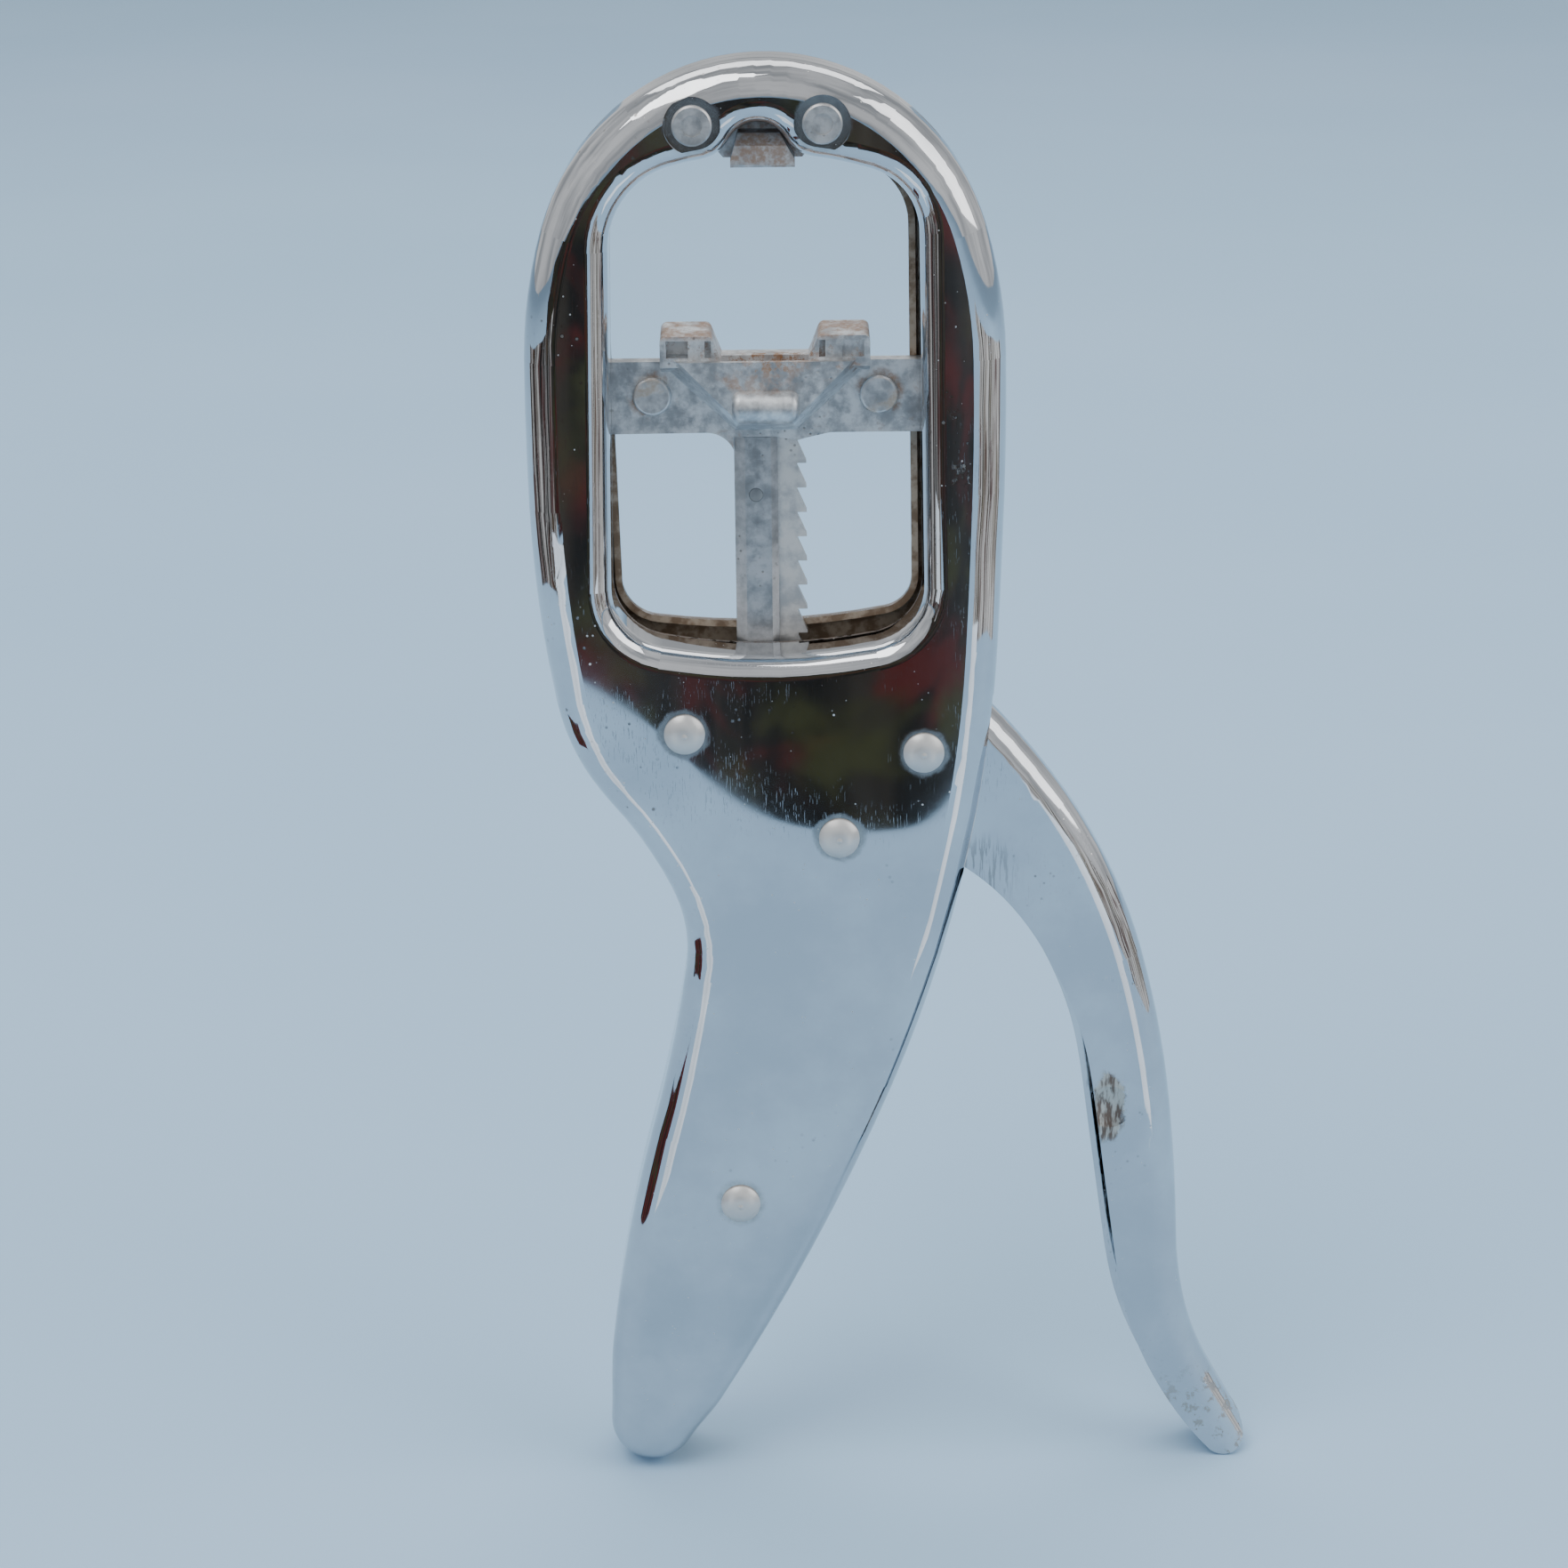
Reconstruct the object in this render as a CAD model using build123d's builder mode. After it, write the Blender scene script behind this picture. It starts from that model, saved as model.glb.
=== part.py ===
from build123d import *
import math
import os

os.makedirs("parts", exist_ok=True)

# Millimetres. X is left to right, Y is front (-) to back (+), Z runs along the handle towards
# the fixed jaw. The origin is on the centre line of the rack, half way down the grip.

# body shells
half_depth = 8.3
sheet = 1.0
edge_radius = 5.0
seam_gap = 0.05
inner_face = half_depth - sheet
tip_centre = (-20.2, -47.9)
tip_radius = 6.8

# window in the front shell
window_low_half = 23.3
window_low = 84.6
window_bottom = 81.3
window_top_half = 22.2
window_shoulder = 150.6
window_crown = 155.45
window_low_corner = 9.0
window_left_corner = 12.5
window_right_corner = 9.5
notch_centre = (-0.7, 155.3)
notch_radius = 4.6
notch_blend = 5.5
lip_radius = 3.3
front_lip_end = 1.8

# window in the rear shell
rear_low_left = (-21.9, 85.5)
rear_low_middle = (-2.5, 83.75)
rear_low_right = (21.7, 86.5)
rear_top_left = (-23.3, 150.2)
rear_top_right = (21.0, 150.2)
rear_crown = 155.0
rear_left_corner = 6.0
rear_right_corner = 5.0
rear_top_corner = 9.5
rear_lip_radius = 2.4
rear_lip_end = 4.8

# slot down the right side that the lever folds into
slot_top = 74.5
slot_front = -4.9
slot_back = 5.7

# rivet centres, as (x, z)
guide_centre = (-12.7, 70.0)
lever_centre = (23.0, 66.7)
holding_centre = (10.3, 53.3)
handle_centre = (-5.45, -7.4)
jaw_rivet_left = (-9.9, 159.8)
jaw_rivet_right = (8.5, 159.9)
head_radius = 3.05
head_height = 1.5
shank_radius = 1.55
hole_play = 0.05
tail_radius = 2.7
tail_height = 0.9
washer_radius = 3.7
washer_thickness = 0.7
pivot_shank = 1.9
bush_radius = 3.0
jaw_shank = 1.25
jaw_head_radius = 2.85
jaw_head_height = 0.7
jaw_recess_radius = 4.05
jaw_recess_depth = 0.4

# sliding jaw and rack, guided in the gap between the two window lips
guide_play = 0.1
slide_front = front_lip_end + guide_play
slide_back = rear_lip_end - guide_play
arm_half = 26.5
arm_bottom = 113.4
arm_top = 124.2
rib_back = 3.1
rib_left = -4.8
rib_right = 1.65
rack_top = 122.0
rack_bottom = 36.0
tooth_tip_x = 5.9
tooth_root_x = 4.5
tooth_pitch = 3.75
tooth_land = 0.3
first_tooth_z = 108.5
tooth_count = 19
stem_rivet_radius = 1.0
stem_rivet_points = [(-1.6, 45.0), (-1.6, 75.0), (-1.6, 104.0)]
stud_x = 16.7
stud_z = 119.2
stem_seat = 112.8
gusset_start = (-8.8, 113.5)
gusset_middle = (-6.2, 112.6)
gusset_tip = (rib_left - 0.05, 110.9)

# squeeze lever
lever_front = -4.6
lever_back = 5.4
lever_edge_radius = 4.2
lever_head_radius = 10.9
lever_tip_centre = (72.2, -51.9)
lever_tip_radius = 3.3
back_flange_extra = 1.2
ear_radius = 3.2
drive_pin_centre = (15.8, 58.7)
pin_radius = 1.2
pin_head_radius = 2.0
pin_head_height = 0.5
dent_centre = (52.3, 6.7)
dent_radius = 13.8
dent_depth = 0.45

# pawls, both turned clear of the teeth
pawl_front = 2.0
pawl_back = 4.3
drive_boss_radius = 2.2
holding_boss_radius = 2.4
holding_bore_radius = 1.6

# springs
pawl_wire = 0.35
anchor_radius = 1.1
lever_anchor = (8.6, 70.5)
pawl_anchor = (12.4, 45.5)
lever_wire = 0.5
coil_step = 1.8
drive_turns = 8
holding_turns = 5
lever_turns = 5


def point_at(centre, radius, degrees):
    angle = math.radians(degrees)
    return (centre[0] + radius * math.cos(angle), centre[1] + radius * math.sin(angle))


def arc_chain(points, heading):
    start = points[0]
    for end in points[1:]:
        arc = TangentArc(start, end, tangent=heading)
        heading = arc % 1
        start = end
    return heading


def body_outline():
    left_end = (-26.4, -34.0)
    right_end = (-9.0, -44.0)
    left_way = arc_chain(
        [(0, 168.7), (-19.5, 162.3), (-31.9, 144.9), (-35, 126), (-35, 104), (-31.9, 74),
         (-24.3, 58), (-15.4, 44.2), (-13.4, 30.5), (-19, 4), left_end],
        (-1, 0),
    )
    right_way = arc_chain(
        [(0, 168.7), (19.5, 162.3), (31.9, 144.9), (35, 126), (35, 106), (34.2, 82),
         (31.4, 56), (18.6, 11), right_end],
        (1, 0),
    )
    tip_left = point_at(tip_centre, tip_radius, 176)
    tip_low = point_at(tip_centre, tip_radius, -107)
    tip_right = point_at(tip_centre, tip_radius, -31)
    ThreePointArc(tip_left, tip_low, tip_right)
    Spline(left_end, tip_left, tangents=(left_way, point_at((0, 0), 1, 266)))
    Spline(right_end, tip_right, tangents=(right_way, point_at((0, 0), 1, 239)))


def front_window(grow):
    with BuildSketch() as window:
        with BuildLine():
            Line((-window_top_half, window_shoulder), (-window_low_half, window_low))
            ThreePointArc((-window_low_half, window_low), (0, window_bottom), (window_low_half, window_low))
            Line((window_low_half, window_low), (window_top_half, window_shoulder))
            ThreePointArc(
                (window_top_half, window_shoulder), (0, window_crown), (-window_top_half, window_shoulder)
            )
        make_face()
        fillet(window.vertices().group_by(Axis.Y)[0], window_low_corner)
        shoulders = window.vertices().filter_by_position(Axis.Y, window_shoulder - 0.1, window_shoulder + 0.1)
        fillet(shoulders.sort_by(Axis.X)[0], window_left_corner)
        shoulders = window.vertices().filter_by_position(Axis.Y, window_shoulder - 0.1, window_shoulder + 0.1)
        fillet(shoulders.sort_by(Axis.X)[-1], window_right_corner)
        with Locations(notch_centre):
            Circle(notch_radius)
        joints = window.vertices().filter_by_position(Axis.X, -notch_radius - 1, notch_radius)
        fillet(joints.filter_by_position(Axis.Y, window_shoulder, window_crown), notch_blend)
        if grow:
            offset(amount=grow)
    return window.sketch


def rear_window(grow):
    with BuildSketch() as window:
        with BuildLine():
            Line(rear_top_left, rear_low_left)
            ThreePointArc(rear_low_left, rear_low_middle, rear_low_right)
            Line(rear_low_right, rear_top_right)
            ThreePointArc(rear_top_right, (0, rear_crown), rear_top_left)
        make_face()
        low_corners = window.vertices().sort_by(Axis.Y)[:2].sort_by(Axis.X)
        fillet(low_corners[0], rear_left_corner)
        fillet(window.vertices().filter_by_position(Axis.Y, rear_low_right[1] - 0.1, rear_low_right[1] + 0.1),
               rear_right_corner)
        fillet(window.vertices().filter_by_position(Axis.Y, rear_top_left[1] - 0.1, rear_top_left[1] + 0.1),
               rear_top_corner)
        if grow:
            offset(amount=grow)
    return window.sketch


def slot_outline():
    Polyline(
        (24, slot_top), (42, slot_top), (42, -60), (-18, -60), (-18, -49), (-2, -22), (10, 8),
        (22, 45), (24, slot_top),
    )


rivet_points = [guide_centre, holding_centre, handle_centre]
jaw_rivet_points = [jaw_rivet_left, jaw_rivet_right]

with BuildPart() as front_shell:
    with BuildSketch(Plane.XZ.offset(-front_lip_end)):
        with BuildLine():
            body_outline()
        make_face()
        add(front_window(0), mode=Mode.SUBTRACT)
    extrude(amount=half_depth + front_lip_end)
    fillet(front_shell.faces().sort_by(Axis.Y)[0].outer_wire().edges(), edge_radius)
    fillet(front_shell.faces().sort_by(Axis.Y)[0].inner_wires()[0].edges(), lip_radius)
    offset(amount=-sheet, openings=front_shell.faces().sort_by(Axis.Y)[-1])
    # only the window lip runs on past the seam
    with BuildSketch(Plane.XZ.offset(-front_lip_end)):
        Rectangle(120, 600)
        add(front_window(2 * sheet), mode=Mode.SUBTRACT)
    extrude(amount=front_lip_end + seam_gap, mode=Mode.SUBTRACT)
    with BuildSketch(Plane.XZ.offset(-slot_front)):
        with BuildLine():
            slot_outline()
        make_face()
    extrude(amount=slot_front, mode=Mode.SUBTRACT)
    with BuildSketch(Plane.XZ.offset(half_depth - jaw_recess_depth)):
        with Locations(*jaw_rivet_points):
            Circle(jaw_recess_radius)
    extrude(amount=edge_radius, mode=Mode.SUBTRACT)
    with BuildSketch(Plane.XZ.offset(inner_face - sheet)):
        with Locations(*rivet_points):
            Circle(shank_radius + hole_play)
        with Locations(lever_centre):
            Circle(pivot_shank + hole_play)
        with Locations(*jaw_rivet_points):
            Circle(jaw_shank + hole_play)
    extrude(amount=edge_radius, mode=Mode.SUBTRACT)
front_shell.part.label = "front_shell"
export_step(front_shell.part, "parts/front_shell.step")

with BuildPart() as rear_shell:
    with BuildSketch(Plane.XZ.offset(-half_depth)):
        with BuildLine():
            body_outline()
        make_face()
        add(rear_window(0), mode=Mode.SUBTRACT)
    extrude(amount=half_depth - seam_gap)
    fillet(rear_shell.faces().sort_by(Axis.Y)[-1].outer_wire().edges(), edge_radius)
    fillet(rear_shell.faces().sort_by(Axis.Y)[-1].inner_wires()[0].edges(), rear_lip_radius)
    offset(amount=-sheet, openings=rear_shell.faces().sort_by(Axis.Y)[0])
    # the window lip stops short of the seam and leaves the gap that the jaw slides in
    with BuildSketch(Plane.XZ.offset(-rear_lip_end)):
        add(rear_window(2 * sheet))
    extrude(amount=rear_lip_end, mode=Mode.SUBTRACT)
    with BuildSketch(Plane.XZ.offset(-slot_back)):
        with BuildLine():
            slot_outline()
        make_face()
    extrude(amount=slot_back, mode=Mode.SUBTRACT)
    with BuildSketch(Plane.XZ.offset(-half_depth - sheet)):
        with Locations(*rivet_points):
            Circle(shank_radius + hole_play)
        with Locations(lever_centre):
            Circle(pivot_shank + hole_play)
        with Locations(*jaw_rivet_points):
            Circle(jaw_shank + hole_play)
    extrude(amount=edge_radius, mode=Mode.SUBTRACT)
rear_shell.part.label = "rear_shell"
export_step(rear_shell.part, "parts/rear_shell.step")


def rivet_profile(shank, back_face):
    # half section of a domed rivet with a small centre nipple and a flat tail, in (radius, y)
    front = -half_depth
    dome = ThreePointArc(
        (head_radius, front - 0.35),
        (head_radius * 0.62, front - head_height * 0.78),
        (0.45, front - head_height * 0.96),
    )
    Line(dome @ 1, (0, front - head_height - 0.12))
    Polyline(
        (0, front - head_height - 0.12), (0, back_face + tail_height),
        (tail_radius - 0.3, back_face + tail_height), (tail_radius, back_face + tail_height - 0.3),
        (tail_radius, back_face), (shank, back_face), (shank, front), (head_radius, front),
        (head_radius, front - 0.35),
    )


tail_face = half_depth + washer_thickness

with BuildPart() as shell_rivets:
    for x, z in rivet_points:
        with BuildSketch(Plane(origin=(x, 0, z), x_dir=(1, 0, 0), z_dir=(0, 0, 1))):
            with BuildLine():
                rivet_profile(shank_radius, tail_face)
            make_face()
        revolve(axis=Axis((x, 0, z), (0, 1, 0)))
shell_rivets.part.label = "shell_rivets"
export_step(shell_rivets.part, "parts/shell_rivets.step")

pivot_x, pivot_z = lever_centre
with BuildPart() as pivot_rivet:
    with BuildSketch(Plane(origin=(pivot_x, 0, pivot_z), x_dir=(1, 0, 0), z_dir=(0, 0, 1))):
        with BuildLine():
            rivet_profile(pivot_shank, tail_face)
        make_face()
    revolve(axis=Axis((pivot_x, 0, pivot_z), (0, 1, 0)))
pivot_rivet.part.label = "pivot_rivet"
export_step(pivot_rivet.part, "parts/pivot_rivet.step")

with BuildPart() as rivet_washers:
    with BuildSketch(Plane.XZ.offset(-tail_face)):
        with Locations(*rivet_points):
            Circle(washer_radius)
        with Locations(*rivet_points):
            Circle(shank_radius + hole_play, mode=Mode.SUBTRACT)
        with Locations(lever_centre):
            Circle(washer_radius)
        with Locations(lever_centre):
            Circle(pivot_shank + hole_play, mode=Mode.SUBTRACT)
    extrude(amount=washer_thickness)
rivet_washers.part.label = "rivet_washers"
export_step(rivet_washers.part, "parts/rivet_washers.step")

with BuildPart() as jaw_rivets:
    dimple_radius = 1.5
    dimple_depth = 0.25
    head_chamfer = 0.25
    recess_face = half_depth - jaw_recess_depth
    with BuildSketch(Plane.XZ.offset(recess_face)):
        with Locations(*jaw_rivet_points):
            Circle(jaw_head_radius)
    extrude(amount=jaw_head_height)
    chamfer(jaw_rivets.faces().sort_by(Axis.Y)[:2].edges(), head_chamfer)
    with BuildSketch(Plane.XZ.offset(-half_depth - tail_height)):
        with Locations(*jaw_rivet_points):
            Circle(tail_radius)
    extrude(amount=tail_height)
    with BuildSketch(Plane.XZ.offset(-half_depth)):
        with Locations(*jaw_rivet_points):
            Circle(jaw_shank)
    extrude(amount=half_depth + recess_face)
    with BuildSketch(Plane.XZ.offset(recess_face + jaw_head_height - dimple_depth)):
        with Locations(*jaw_rivet_points):
            Circle(dimple_radius)
    extrude(amount=1, mode=Mode.SUBTRACT)
jaw_rivets.part.label = "jaw_rivets"
export_step(jaw_rivets.part, "parts/jaw_rivets.step")

with BuildPart() as jaw_spacers:
    spacer_radius = 1.7
    spacer_front = -7.0
    with BuildSketch(Plane.XZ.offset(-slide_front)):
        with Locations(*jaw_rivet_points):
            Circle(spacer_radius)
        with Locations(*jaw_rivet_points):
            Circle(jaw_shank + hole_play, mode=Mode.SUBTRACT)
    extrude(amount=slide_front - spacer_front)
jaw_spacers.part.label = "jaw_spacers"
export_step(jaw_spacers.part, "parts/jaw_spacers.step")

with BuildPart() as fixed_jaw:
    anvil_face = 153.3
    anvil_half = 4.6
    anvil_top = 158.0
    anvil_top_left = -3.5
    anvil_top_right = 2.5
    anvil_front = -4.4
    top_chamfer = 1.6
    face_rounding = 0.5
    anvil_shoulder = anvil_face + 1.1
    boss_radius = 1.9
    plate_half = 15.5
    plate_low = 157.0
    plate_side = 162.0
    plate_top = 166.4
    # plate held inside the head
    with BuildSketch(Plane.XZ.offset(-slide_back)):
        with BuildLine():
            Polyline((-plate_half, plate_side), (-plate_half, plate_low), (-7.5, plate_low - 1),
                     (-5.7, anvil_face + 0.6), (5.7, anvil_face + 0.6), (7.5, plate_low - 1),
                     (plate_half, plate_low), (plate_half, plate_side))
            ThreePointArc((plate_half, plate_side), (0, plate_top), (-plate_half, plate_side))
        make_face()
    extrude(amount=slide_back - slide_front)
    # bosses behind the plate
    with BuildSketch(Plane.XZ.offset(-inner_face)):
        with Locations(*jaw_rivet_points):
            Circle(boss_radius)
    extrude(amount=inner_face - slide_back)
    # anvil that reaches forward through the notch, narrower towards its top
    with BuildSketch(Plane.XZ.offset(-slide_front)):
        with BuildLine():
            Polyline((-anvil_half, anvil_shoulder), (-anvil_half, anvil_face), (anvil_half, anvil_face),
                     (anvil_half, anvil_shoulder), (anvil_top_right, anvil_top),
                     (anvil_top_left, anvil_top), (-anvil_half, anvil_shoulder))
        make_face()
    extrude(amount=slide_front - anvil_front)
    front_edges = fixed_jaw.faces().sort_by(Axis.Y)[0].edges()
    chamfer(front_edges.sort_by(Axis.Z)[-1], top_chamfer)
    fillet(fixed_jaw.faces().sort_by(Axis.Y)[0].edges().sort_by(Axis.Z)[0], face_rounding)
    with BuildSketch(Plane.XZ.offset(-half_depth)):
        with Locations(*jaw_rivet_points):
            Circle(jaw_shank + hole_play)
    extrude(amount=half_depth, mode=Mode.SUBTRACT)
fixed_jaw.part.label = "fixed_jaw"
export_step(fixed_jaw.part, "parts/fixed_jaw.step")

with BuildPart() as rack_guide:
    guide_left = -17.2
    guide_low = 62.0
    guide_high = 78.0
    guide_cut = 4.0
    guide_face = rib_left - guide_play
    guide_lap = 2.4
    with BuildSketch(Plane.XZ.offset(-inner_face)):
        with BuildLine():
            Polyline((guide_left, guide_high), (guide_left, guide_low + guide_cut),
                     (guide_left + guide_cut, guide_low), (guide_face + guide_lap, guide_low), (guide_face + guide_lap, guide_high),
                     (guide_left, guide_high))
        make_face()
        with Locations(guide_centre):
            Circle(shank_radius + hole_play, mode=Mode.SUBTRACT)
    extrude(amount=2 * inner_face)
    with BuildSketch(Plane.XZ.offset(-slide_back - guide_play)):
        with Locations((guide_face, guide_low - 1)):
            Rectangle(2 * guide_lap, guide_high - guide_low + 2, align=(Align.MIN, Align.MIN))
    extrude(amount=slide_back - slide_front + 2 * guide_play, mode=Mode.SUBTRACT)
rack_guide.part.label = "rack_guide"
export_step(rack_guide.part, "parts/rack_guide.step")

with BuildPart() as handle_spacer:
    with BuildSketch(Plane.XZ.offset(-inner_face)):
        with Locations(handle_centre):
            Circle(washer_radius)
            Circle(shank_radius + hole_play, mode=Mode.SUBTRACT)
    extrude(amount=2 * inner_face)
handle_spacer.part.label = "handle_spacer"
export_step(handle_spacer.part, "parts/handle_spacer.step")

with BuildPart() as pivot_bush:
    with BuildSketch(Plane.XZ.offset(-inner_face)):
        with Locations(lever_centre):
            Circle(bush_radius)
            Circle(pivot_shank + hole_play, mode=Mode.SUBTRACT)
    extrude(amount=2 * inner_face)
pivot_bush.part.label = "pivot_bush"
export_step(pivot_bush.part, "parts/pivot_bush.step")

with BuildPart() as pawl_spacers:
    pawl_spacer_radius = 2.5
    pawl_side_play = 0.1
    with BuildSketch(Plane.XZ.offset(-pawl_front + pawl_side_play)):
        with Locations(holding_centre):
            Circle(pawl_spacer_radius)
            Circle(shank_radius + hole_play, mode=Mode.SUBTRACT)
    extrude(amount=inner_face + pawl_front - pawl_side_play)
    with BuildSketch(Plane.XZ.offset(-inner_face)):
        with Locations(holding_centre):
            Circle(pawl_spacer_radius)
            Circle(shank_radius + hole_play, mode=Mode.SUBTRACT)
    extrude(amount=inner_face - pawl_back - pawl_side_play)
pawl_spacers.part.label = "pawl_spacers"
export_step(pawl_spacers.part, "parts/pawl_spacers.step")

with BuildPart() as spring_anchor:
    anchor_back = -0.3
    with BuildSketch(Plane.XZ.offset(-anchor_back)):
        with Locations(lever_anchor, pawl_anchor):
            Circle(anchor_radius)
    extrude(amount=inner_face + anchor_back)
spring_anchor.part.label = "spring_anchor"
export_step(spring_anchor.part, "parts/spring_anchor.step")

# sliding jaw: cross arm, hopper with thumb pad, two prongs
with BuildPart() as moving_jaw:
    hopper_top = 125.3
    hopper_front = -4.5
    hopper_top_half = 15.3
    hopper_turn = 123.9
    hopper_low_half = 4.6
    hopper_low = 113.9
    face_top_half = 12.6
    face_turn_half = 11.2
    face_low_half = 3.9
    face_low = 116.4
    pad_z = 118.6
    pad_radius = 2.5
    pad_half = 4.9
    prong_inner = 6.4
    prong_inner_top = 8.1
    prong_outer = 15.3
    prong_front = -2.8
    prong_rear_top = 129.6
    prong_front_top = 128.8
    prong_rounding = 1.0
    pocket_x = 12.8
    pocket_z = 126.9
    pocket_width = 3.2
    pocket_height = 2.5
    groove_x = 8.3
    groove_width = 0.9
    groove_depth = 1.2
    tray_wall = 1.1
    tray_depth = 1.6
    with BuildSketch(Plane.XZ.offset(-slide_back)):
        with BuildLine():
            Polyline((-arm_half, arm_top), (-arm_half, arm_bottom), gusset_start)
            ThreePointArc(gusset_start, gusset_middle, gusset_tip)
            Polyline(gusset_tip, (gusset_tip[0], stem_seat), (rib_right, stem_seat),
                     (tooth_root_x, stem_seat - 0.6), (tooth_tip_x, stem_seat - 0.2),
                     (tooth_tip_x + 3.6, arm_bottom), (arm_half, arm_bottom), (arm_half, arm_top),
                     (-arm_half, arm_top))
        make_face()
    extrude(amount=slide_back - slide_front)
    with BuildSketch(Plane.XZ.offset(-slide_front)):
        with BuildLine():
            Polyline((-hopper_top_half, hopper_top), (-hopper_top_half, hopper_turn),
                     (-hopper_low_half, hopper_low), (hopper_low_half, hopper_low),
                     (hopper_top_half, hopper_turn), (hopper_top_half, hopper_top),
                     (-hopper_top_half, hopper_top))
        make_face()
    with BuildSketch(Plane.XZ.offset(-hopper_front)):
        with BuildLine():
            Polyline((-face_top_half, hopper_top), (-face_turn_half, hopper_turn),
                     (-face_low_half, face_low), (face_low_half, face_low),
                     (face_turn_half, hopper_turn), (face_top_half, hopper_top),
                     (-face_top_half, hopper_top))
        make_face()
    loft(ruled=True)
    # flat top between the prongs
    with BuildSketch(Plane.XZ.offset(-slide_back)):
        with Locations((0, hopper_top)):
            Rectangle(2 * hopper_top_half, hopper_top - arm_bottom - 2, align=(Align.CENTER, Align.MAX))
    extrude(amount=slide_back - slide_front)
    for side in (-1, 1):
        with BuildSketch(Plane.YZ.offset(side * (prong_inner + prong_outer) / 2)):
            with BuildLine():
                Polyline((prong_front, hopper_top - 1.0), (slide_back, hopper_top - 3.5),
                         (slide_back, prong_rear_top), (prong_front, prong_front_top),
                         (prong_front, hopper_top - 1.0))
            make_face()
        extrude(amount=(prong_outer - prong_inner) / 2, both=True)
    with BuildSketch(Plane.XZ.offset(-slide_back)):
        with BuildLine():
            Polyline((-prong_inner, hopper_top), (prong_inner, hopper_top), (prong_inner_top, prong_rear_top),
                     (-prong_inner_top, prong_rear_top), (-prong_inner, hopper_top))
        make_face()
    extrude(amount=slide_back - prong_front, mode=Mode.SUBTRACT)
    prong_tops = moving_jaw.faces().group_by(Axis.Z)[-1]
    fillet(prong_tops.edges().filter_by(Axis.X, reverse=True), prong_rounding)
    # two pockets in the front of each prong, the outer one deeper on the left
    for side, depth in ((-1, 3.0), (1, 0.8)):
        with BuildSketch(Plane.XZ.offset(-prong_front)):
            with Locations((side * pocket_x, pocket_z)):
                Rectangle(pocket_width, pocket_height)
        extrude(amount=-depth, mode=Mode.SUBTRACT)
        with BuildSketch(Plane.XZ.offset(-prong_front)):
            with Locations((side * groove_x, pocket_z)):
                Rectangle(groove_width, pocket_height)
        extrude(amount=-groove_depth, mode=Mode.SUBTRACT)
    # tray in the top of the hopper
    with BuildSketch(Plane.XY.offset(hopper_top)):
        with Locations((0, (hopper_front + slide_front) / 2)):
            Rectangle(2 * prong_inner, slide_front - hopper_front - 2 * tray_wall)
    extrude(amount=-tray_depth, mode=Mode.SUBTRACT)
    # thumb pad on the hopper's face
    with BuildSketch(Plane.YZ.offset(-pad_half)):
        with Locations((hopper_front + 0.35, pad_z)):
            Circle(pad_radius)
    extrude(amount=2 * pad_half)
    pad_ends = moving_jaw.faces().sort_by(Axis.Y)[0].edges()
    fillet(pad_ends.filter_by(GeomType.CIRCLE), 1.2)
    # stud holes
    with BuildSketch(Plane.XZ.offset(-slide_back)):
        with Locations((-stud_x, stud_z), (stud_x, stud_z)):
            Circle(shank_radius + hole_play)
    extrude(amount=slide_back - slide_front, mode=Mode.SUBTRACT)
    # seat for the rack
    with BuildSketch(Plane.XZ.offset(-slide_back)):
        with Locations((rib_left - hole_play, 0)):
            Rectangle(tooth_root_x - rib_left + 0.1, rack_top + hole_play, align=(Align.MIN, Align.MIN))
    extrude(amount=slide_back - rib_back + hole_play, mode=Mode.SUBTRACT)
moving_jaw.part.label = "moving_jaw"
export_step(moving_jaw.part, "parts/moving_jaw.step")

# toothed strip
with BuildPart() as rack:
    with BuildSketch(Plane.XZ.offset(-slide_back)):
        with BuildLine():
            outline = [(rib_left, rack_bottom), (rib_left, rack_top), (tooth_root_x, rack_top)]
            for number in range(tooth_count):
                tip_z = first_tooth_z - number * tooth_pitch
                outline.append((tooth_root_x, tip_z + tooth_pitch - tooth_land))
                outline.append((tooth_tip_x, tip_z + tooth_land))
                outline.append((tooth_tip_x, tip_z))
                outline.append((tooth_root_x, tip_z))
            outline.append((tooth_root_x, rack_bottom))
            outline.append((rib_left, rack_bottom))
            Polyline(*outline)
        make_face()
    extrude(amount=slide_back - rib_back)
    with BuildSketch(Plane.XZ.offset(-slide_back)):
        with Locations(*stem_rivet_points):
            Circle(stem_rivet_radius + hole_play)
    extrude(amount=slide_back, mode=Mode.SUBTRACT)
rack.part.label = "rack"
export_step(rack.part, "parts/rack.step")

# bevelled bar in front of the toothed strip
with BuildPart() as stem:
    stem_top = stem_seat - hole_play
    bevel_depth = 0.75
    left_bevel = 1.6
    right_bevel = 1.0
    with BuildSketch(Plane.XY.offset(rack_bottom)):
        with BuildLine():
            Polyline((rib_left, rib_back), (rib_left, slide_front + bevel_depth),
                     (rib_left + left_bevel, slide_front), (rib_right - right_bevel, slide_front),
                     (rib_right, slide_front + bevel_depth), (rib_right, rib_back), (rib_left, rib_back))
        make_face()
    extrude(amount=stem_top - rack_bottom)
    with BuildSketch(Plane.XZ.offset(-slide_back)):
        with Locations(*stem_rivet_points):
            Circle(stem_rivet_radius + hole_play)
    extrude(amount=slide_back, mode=Mode.SUBTRACT)
stem.part.label = "stem"
export_step(stem.part, "parts/stem.step")

with BuildPart() as stem_rivets:
    with BuildSketch(Plane.XZ.offset(-slide_back)):
        with Locations(*stem_rivet_points):
            Circle(stem_rivet_radius)
    extrude(amount=slide_back - slide_front)
stem_rivets.part.label = "stem_rivets"
export_step(stem_rivets.part, "parts/stem_rivets.step")

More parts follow.
